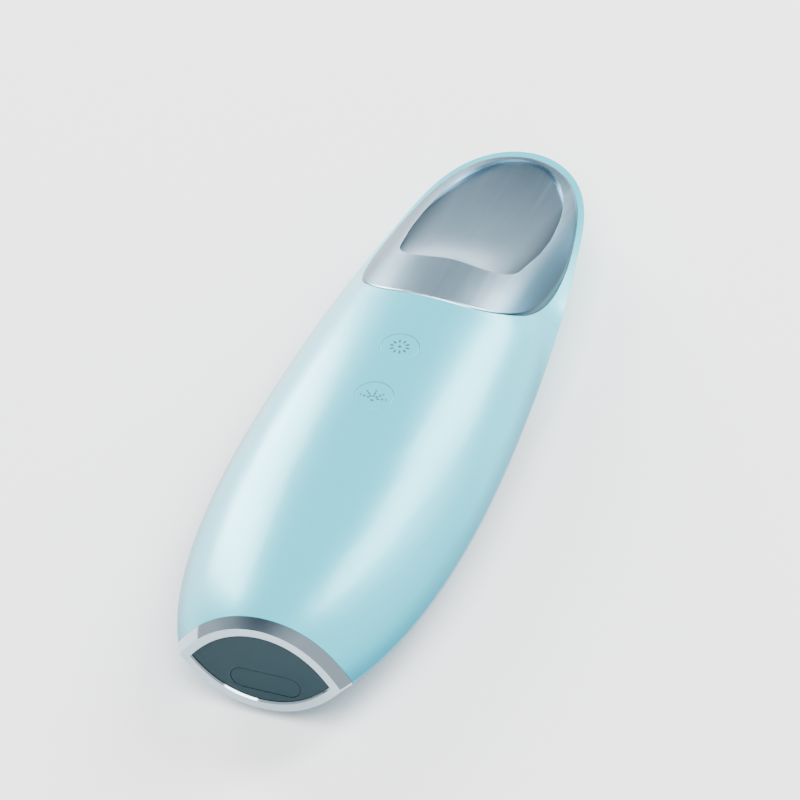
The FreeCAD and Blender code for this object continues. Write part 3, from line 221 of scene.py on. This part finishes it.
def pearl_case():
    """Pearl lacquer with fine flakes under a clear coat. Its colour carries painted shade, a deeper
    teal low on the grip, and painted light, paler high up and towards the tip.
    """
    made = material("pearl_aqua", CASE_MAIN, 0.25, 0.33, coat=0.35, coat_roughness=0.16)
    tree = made.node_tree
    shader = tree.nodes["Principled BSDF"]
    vector = object_coordinates(tree)
    # Painted light: the colour pales with height and towards the tip, and painted shade deepens it
    # low on the grip.
    painted_light = node(tree, "ShaderNodeMath", operation="MAXIMUM")
    tree.links.new(along_axis(tree, vector, "Z", *(cad_high[2] * share for share in PAINTED_LIGHT_RISE)),
                   painted_light.inputs[0])
    tree.links.new(along_axis(tree, vector, "Y", *(cad_high[1] * share for share in PAINTED_LIGHT_REACH)),
                   painted_light.inputs[1])
    colour = ramp(tree, painted_light.outputs["Value"],
                  ((0.0, CASE_PAINTED_SHADE), (0.55, CASE_MAIN), (1.0, CASE_PAINTED_LIGHT)))
    flakes = noise(tree, vector, FLAKE_GRAIN, 2.0)
    tree.links.new(overlay(tree, colour, flakes), shader.inputs["Base Color"])
    tree.links.new(spread(tree, noise(tree, vector, 120), 0.31, 0.37), shader.inputs["Roughness"])
    bump(tree, shader, flakes, 0.002 * MM)
    return made


def head_steel():
    """Blue-grey satin metal, finely brushed along the device, with a painted dark reflection that
    deepens it towards its flanks and its tip.
    """
    made = material("head_satin_metal", HEAD_MIDDLE, 1.0, 0.33, anisotropic=0.3)
    tree = made.node_tree
    shader = tree.nodes["Principled BSDF"]
    vector = object_coordinates(tree)
    split = node(tree, "ShaderNodeSeparateXYZ")
    tree.links.new(vector, split.inputs["Vector"])
    across = node(tree, "ShaderNodeMath", operation="ABSOLUTE")
    tree.links.new(split.outputs["X"], across.inputs[0])
    # Painted dark reflection: the colour deepens towards the flanks and towards the tip.
    painted_flank = node(tree, "ShaderNodeMapRange", interpolation_type="SMOOTHSTEP")
    head_low, head_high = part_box("scrubber_head")
    painted_flank.inputs["From Min"].default_value = head_high.x * PAINTED_REFLECTION_FADE[0]
    painted_flank.inputs["From Max"].default_value = head_high.x * PAINTED_REFLECTION_FADE[1]
    tree.links.new(across.outputs["Value"], painted_flank.inputs["Value"])
    painted_tip = along_axis(tree, vector, "Y", (head_low.y + head_high.y) / 2,
                     head_high.y + PAINTED_REFLECTION_PAST)
    painted_reflection = node(tree, "ShaderNodeMath", operation="MAXIMUM")
    tree.links.new(painted_flank.outputs["Result"], painted_reflection.inputs[0])
    tree.links.new(painted_tip, painted_reflection.inputs[1])
    colour = ramp(tree, painted_reflection.outputs["Value"], ((0.0, HEAD_MIDDLE), (1.0, HEAD_PAINTED_REFLECTION)))
    lines = noise(tree, object_coordinates(tree, BRUSH_STRETCH), BRUSH_GRAIN, 4.0)
    tree.links.new(overlay(tree, colour, lines), shader.inputs["Base Color"])
    tree.links.new(spread(tree, lines, 0.30, 0.36), shader.inputs["Roughness"])
    bump(tree, shader, lines, 0.0005 * MM, 0.3)
    return made


def ring_chrome():
    """Polished chrome with a slight haze."""
    made = material("ring_chrome", RING_COLOUR, 1.0, 0.07)
    tree = made.node_tree
    shader = tree.nodes["Principled BSDF"]
    vector = object_coordinates(tree)
    haze = noise(tree, vector, 160, 4.0)
    stops = ((0.3, tone(RING_COLOUR, 0.96)), (0.7, tone(RING_COLOUR, 1.03)))
    tree.links.new(ramp(tree, haze, stops), shader.inputs["Base Color"])
    tree.links.new(spread(tree, haze, 0.05, 0.11), shader.inputs["Roughness"])
    bump(tree, shader, haze, 0.002 * MM, 0.3)
    return made


def circuit_board():
    """Green solder mask crossed by paler tracks, from a brick grid."""
    made = material("circuit_board", BOARD_MASK, 0.0, 0.38, coat=0.4, coat_roughness=0.2)
    tree = made.node_tree
    shader = tree.nodes["Principled BSDF"]
    vector = object_coordinates(tree)
    tracks = node(tree, "ShaderNodeTexBrick")
    tracks.inputs["Scale"].default_value = TRACK_SCALE
    tracks.inputs["Mortar Size"].default_value = TRACK_WIDTH
    tracks.inputs["Color1"].default_value = (*BOARD_MASK, 1)
    tracks.inputs["Color2"].default_value = (*tone(BOARD_MASK, 1.15), 1)
    tracks.inputs["Mortar"].default_value = (*BOARD_TRACK, 1)
    tree.links.new(vector, tracks.inputs["Vector"])
    tree.links.new(tracks.outputs["Color"], shader.inputs["Base Color"])
    bump(tree, shader, tracks.outputs["Fac"], 0.03 * MM)
    return made


def simple_finishes():
    """Every other slot's material."""
    return {
        "cap_gloss": textured("end_cap_gloss", (0.003, 0.022, 0.030), 0.0, 0.12, 0.12, 200, 0.002,
                              0.04, specular=0.18, coat=0.05, coat_roughness=0.05),
        "port_rubber": textured("port_rubber", (0.005, 0.024, 0.032), 0.0, 0.45, 0.10, 900, 0.008,
                                specular=0.18),
        "seal_silicone": textured("seal_silicone", (0.55, 0.58, 0.60), 0.0, 0.48, 0.06, 500, 0.006,
                                  subsurface=0.1, subsurface_scale=0.002),
        "switch_plastic": textured("switch_plastic", (0.030, 0.030, 0.034), 0.0, 0.45),
        "connector_plastic": textured("connector_plastic", (0.78, 0.76, 0.66), 0.0, 0.45),
        "frame_plastic": textured("frame_plastic", (0.62, 0.65, 0.65), 0.0, 0.50, 0.04, 700, 0.015),
        "screw_steel": textured("screw_steel", (0.42, 0.42, 0.43), 1.0, 0.30, 0.10, 1500, 0.006),
        "battery_foil": textured("battery_foil", (0.52, 0.53, 0.55), 0.9, 0.34, 0.06, 300, 0.03),
        "pad_foam": textured("pad_foam", (0.030, 0.030, 0.032), 0.0, 0.90, 0.20, 1200, 0.05),
        "socket_steel": textured("socket_steel", (0.50, 0.50, 0.50), 1.0, 0.28, 0.05, 800, 0.004),
        "chip_resin": textured("chip_resin", (0.018, 0.018, 0.020), 0.0, 0.55, 0.10, 1500, 0.010),
        "module_can": textured("module_can", (0.56, 0.56, 0.56), 1.0, 0.32, 0.06, 900, 0.005),
        "ferrite": textured("ferrite", (0.045, 0.045, 0.050), 0.2, 0.60, 0.15, 1600, 0.02),
        "capacitor_ceramic": textured("capacitor_ceramic", (0.36, 0.24, 0.13), 0.0, 0.40),
        "led_resin": textured("led_resin", (0.80, 0.80, 0.70), 0.0, 0.15, 0.03, 400, 0.002),
        "motor_steel": textured("motor_steel", (0.45, 0.45, 0.46), 1.0, 0.25, 0.05, 700, 0.003,
                                stretch=(1, 12, 1)),
        "weight_alloy": textured("weight_alloy", (0.28, 0.28, 0.29), 1.0, 0.42, 0.12, 1800, 0.015),
        "stack_steel": textured("stack_steel", (0.38, 0.38, 0.40), 1.0, 0.28, 0.06, 900, 0.005,
                                stretch=(1, 20, 1)),
        "electrode_brass": textured("electrode_brass", (0.64, 0.44, 0.17), 1.0, 0.28, 0.06, 900,
                                    0.004),
        "piezo_ceramic": textured("piezo_ceramic", (0.60, 0.53, 0.40), 0.0, 0.50, 0.06, 1400,
                                  0.012),
        "horn_aluminium": textured("horn_aluminium", (0.62, 0.63, 0.64), 1.0, 0.30, 0.05, 900,
                                   0.005, stretch=(1, 20, 1)),
        "lead_insulation": textured("lead_insulation", (0.45, 0.030, 0.022), 0.0, 0.35),
        "flex_film": textured("flex_film", (0.42, 0.17, 0.030), 0.0, 0.25, 0.08, 600, 0.003,
                              coat=0.5),
    }


def paint_nodes():
    """Each CAD node takes the material of its slot in the record."""
    finishes = simple_finishes()
    finishes["case_plastic"] = pearl_case()
    finishes["head_steel"] = head_steel()
    finishes["ring_chrome"] = ring_chrome()
    finishes["board_laminate"] = circuit_board()
    for row in frame["record"]["subparts"]:
        piece = nodes[row["node"]]
        for slot in piece.material_slots:
            slot.material = finishes[row["material_slot"]]
        for polygon in piece.data.polygons:
            polygon.use_smooth = True


# ---------------------------------------------------------------- key icons


ICON_HEIGHT = 0.07 * MM
ICON_SINK = 0.05 * MM
ICON_COLOUR = (0.012, 0.130, 0.170)
BEAD_SEGMENTS = 12
BEAD_RINGS = 4
RAYS = 10
RAY_DISTANCE = 1.5            # millimetres from the bead to the middle of each ray
PETALS = 5
PETAL_START = 14              # heading of the first petal and the step to the next, in degrees
PETAL_STEP = 38
PETAL_MARKS = ((0.95, 0.66, 0.52), (1.75, 0.62, 0.58), (2.5, 0.52, 0.48))
BLOSSOM_SQUASH = 0.85
BLOSSOM_DROP = 0.85



def add_bead(mesh, surface, x, y, angle, length, width):
    """A small domed dash lying on the surface, its long side at the angle."""
    hit = surface.ray_cast(Vector((x, y, 1)), Vector((0, 0, -1)))[0]
    base = hit - Vector((0, 0, ICON_SINK))
    turn = Matrix.Rotation(angle, 3, "Z")
    loops = []
    for ring in range(BEAD_RINGS):
        climb = ring / BEAD_RINGS * math.pi / 2
        loop = []
        for step in range(BEAD_SEGMENTS):
            around = step / BEAD_SEGMENTS * 2 * math.pi
            flat = Vector((math.cos(around) * length / 2 * math.cos(climb),
                           math.sin(around) * width / 2 * math.cos(climb), 0))
            rise = Vector((0, 0, math.sin(climb) * (ICON_HEIGHT + ICON_SINK)))
            loop.append(mesh.verts.new(base + turn @ flat + rise))
        loops.append(loop)
    top = mesh.verts.new(base + Vector((0, 0, ICON_HEIGHT + ICON_SINK)))
    for lower, upper in zip(loops, loops[1:]):
        for step in range(BEAD_SEGMENTS):
            following = (step + 1) % BEAD_SEGMENTS
            mesh.faces.new((lower[step], lower[following], upper[following], upper[step]))
    for step in range(BEAD_SEGMENTS):
        mesh.faces.new((loops[-1][step], loops[-1][(step + 1) % BEAD_SEGMENTS], top))
    mesh.faces.new(list(reversed(loops[0])))


def sun_marks():
    """A bead in a ring of short rays: (x, y, heading, length, width) of each mark."""
    marks = [(0.0, 0.0, 0.0, 0.80, 0.80)]
    for step in range(RAYS):
        heading = math.tau * step / RAYS
        x, y = math.cos(heading) * RAY_DISTANCE, math.sin(heading) * RAY_DISTANCE
        marks.append((x, y, heading, 1.05, 0.52))
    return marks


def blossom_marks():
    """Five petals that fan out from a stem, each of three marks."""
    marks = [(0.0, -1.25, 0.0, 0.85, 0.5)]
    for petal in range(PETALS):
        heading = math.radians(PETAL_START + PETAL_STEP * petal)
        for distance, length, width in PETAL_MARKS:
            x = math.cos(heading) * distance
            y = math.sin(heading) * distance * BLOSSOM_SQUASH - BLOSSOM_DROP
            marks.append((x, y, heading, length, width))
    return marks


def icon(name, key_node, body, marks, material_used):
    """Raised marks on a key's top, which ride with the key."""
    low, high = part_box(key_node)
    centre = (low + high) / 2
    surface = BVHTree.FromObject(nodes[key_node], bpy.context.evaluated_depsgraph_get())
    mesh = bmesh.new()
    for x, y, heading, length, width in marks:
        add_bead(mesh, surface, centre.x + x * MM, centre.y + y * MM, heading,
                 length * MM, width * MM)
    bmesh.ops.recalc_face_normals(mesh, faces=mesh.faces)
    data = bpy.data.meshes.new(name)
    mesh.to_mesh(data)
    mesh.free()
    for polygon in data.polygons:
        polygon.use_smooth = True
    data.materials.append(material_used)
    piece = bpy.data.objects.new(name, data)
    bpy.context.scene.collection.objects.link(piece)
    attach(piece, body)


# ---------------------------------------------------------------- stage, lights and camera


FLOOR_SIZE = 4.0
STUDIO_STRENGTH = 0.95
# Direction of the dim patch, and the studio's colour by how near a direction is to it.
DIM_PATCH = Vector((-0.26, 0.60, 0.76))
DIM_STOPS = ((0.60, (0.95, 0.97, 1.0)), (0.82, (0.55, 0.60, 0.65)), (0.95, (0.12, 0.15, 0.18)))
# Soft boxes: name, direction from the device, distance, width and height in metres, watts.
SOFT_BOXES = (
    ("left_box", (-0.80, 0.62, 0.32), 1.0, 0.34, 0.70, 19.0),
    ("right_box", (0.46, 0.70, 0.60), 1.0, 0.30, 0.80, 18.0),
    ("top_box", (0.1, -0.45, 1.0), 1.3, 0.9, 0.9, 30.0),
    ("front_fill", (0.3, -1.0, 0.40), 1.5, 1.2, 0.5, 5.0),
)
CLIP_END = 20


def add_floor():
    mesh = bmesh.new()
    bmesh.ops.create_grid(mesh, x_segments=1, y_segments=1, size=FLOOR_SIZE)
    data = bpy.data.meshes.new("floor")
    mesh.to_mesh(data)
    mesh.free()
    floor = bpy.data.objects.new("floor", data)
    floor.location.z = cad_low[2]
    bpy.context.scene.collection.objects.link(floor)
    data.materials.append(textured("floor_paper", (0.93, 0.93, 0.93), 0.0, 0.8, 0.01, 60, 0.01))


def area_light(name, direction, distance, width, height, power):
    """A soft box aimed at the middle of the device."""
    data = bpy.data.lights.new(name, "AREA")
    data.shape = "RECTANGLE"
    data.size = width
    data.size_y = height
    data.energy = power
    lamp = bpy.data.objects.new(name, data)
    heading = Vector(direction).normalized()
    lamp.location = middle + heading * distance
    lamp.rotation_euler = heading.to_track_quat("Z", "Y").to_euler()
    bpy.context.scene.collection.objects.link(lamp)


def add_world():
    """A pale studio with a dim patch above the horizon, beyond the tip, for the metal to show."""
    world = bpy.data.worlds.new("studio")
    bpy.context.scene.world = world
    world.use_nodes = True
    tree = world.node_tree
    background = tree.nodes["Background"]
    background.inputs["Strength"].default_value = STUDIO_STRENGTH
    place = node(tree, "ShaderNodeTexCoord")
    nearness = node(tree, "ShaderNodeVectorMath", operation="DOT_PRODUCT")
    nearness.inputs[1].default_value = DIM_PATCH.normalized()
    tree.links.new(place.outputs["Generated"], nearness.inputs[0])
    tree.links.new(ramp(tree, nearness.outputs["Value"], DIM_STOPS), background.inputs["Color"])


def add_lights():
    for box in SOFT_BOXES:
        area_light(*box)


def add_camera():
    """A long lens on the photograph's line of sight."""
    data = bpy.data.cameras.new("camera")
    data.lens = LENS
    data.clip_end = CLIP_END
    camera = bpy.data.objects.new("camera", data)
    away = Vector((math.sin(AZIMUTH) * math.cos(ELEVATION),
                   -math.cos(AZIMUTH) * math.cos(ELEVATION), math.sin(ELEVATION)))
    camera.location = middle + away * CAMERA_DISTANCE
    aim = away.to_track_quat("Z", "Y").to_matrix()
    camera.rotation_euler = (aim @ Matrix.Rotation(ROLL, 3, "Z")).to_euler()
    bpy.context.scene.collection.objects.link(camera)
    bpy.context.scene.camera = camera


add_camera()
add_world()
add_lights()
add_floor()
paint_nodes()
icon_paint = textured("icon_paint", ICON_COLOUR, 0.2, 0.40, 0.05, 900, 0.003)
icon("power_icon", "power_key", "power_button", sun_marks(), icon_paint)
icon("mode_icon", "mode_key", "mode_button", blossom_marks(), icon_paint)
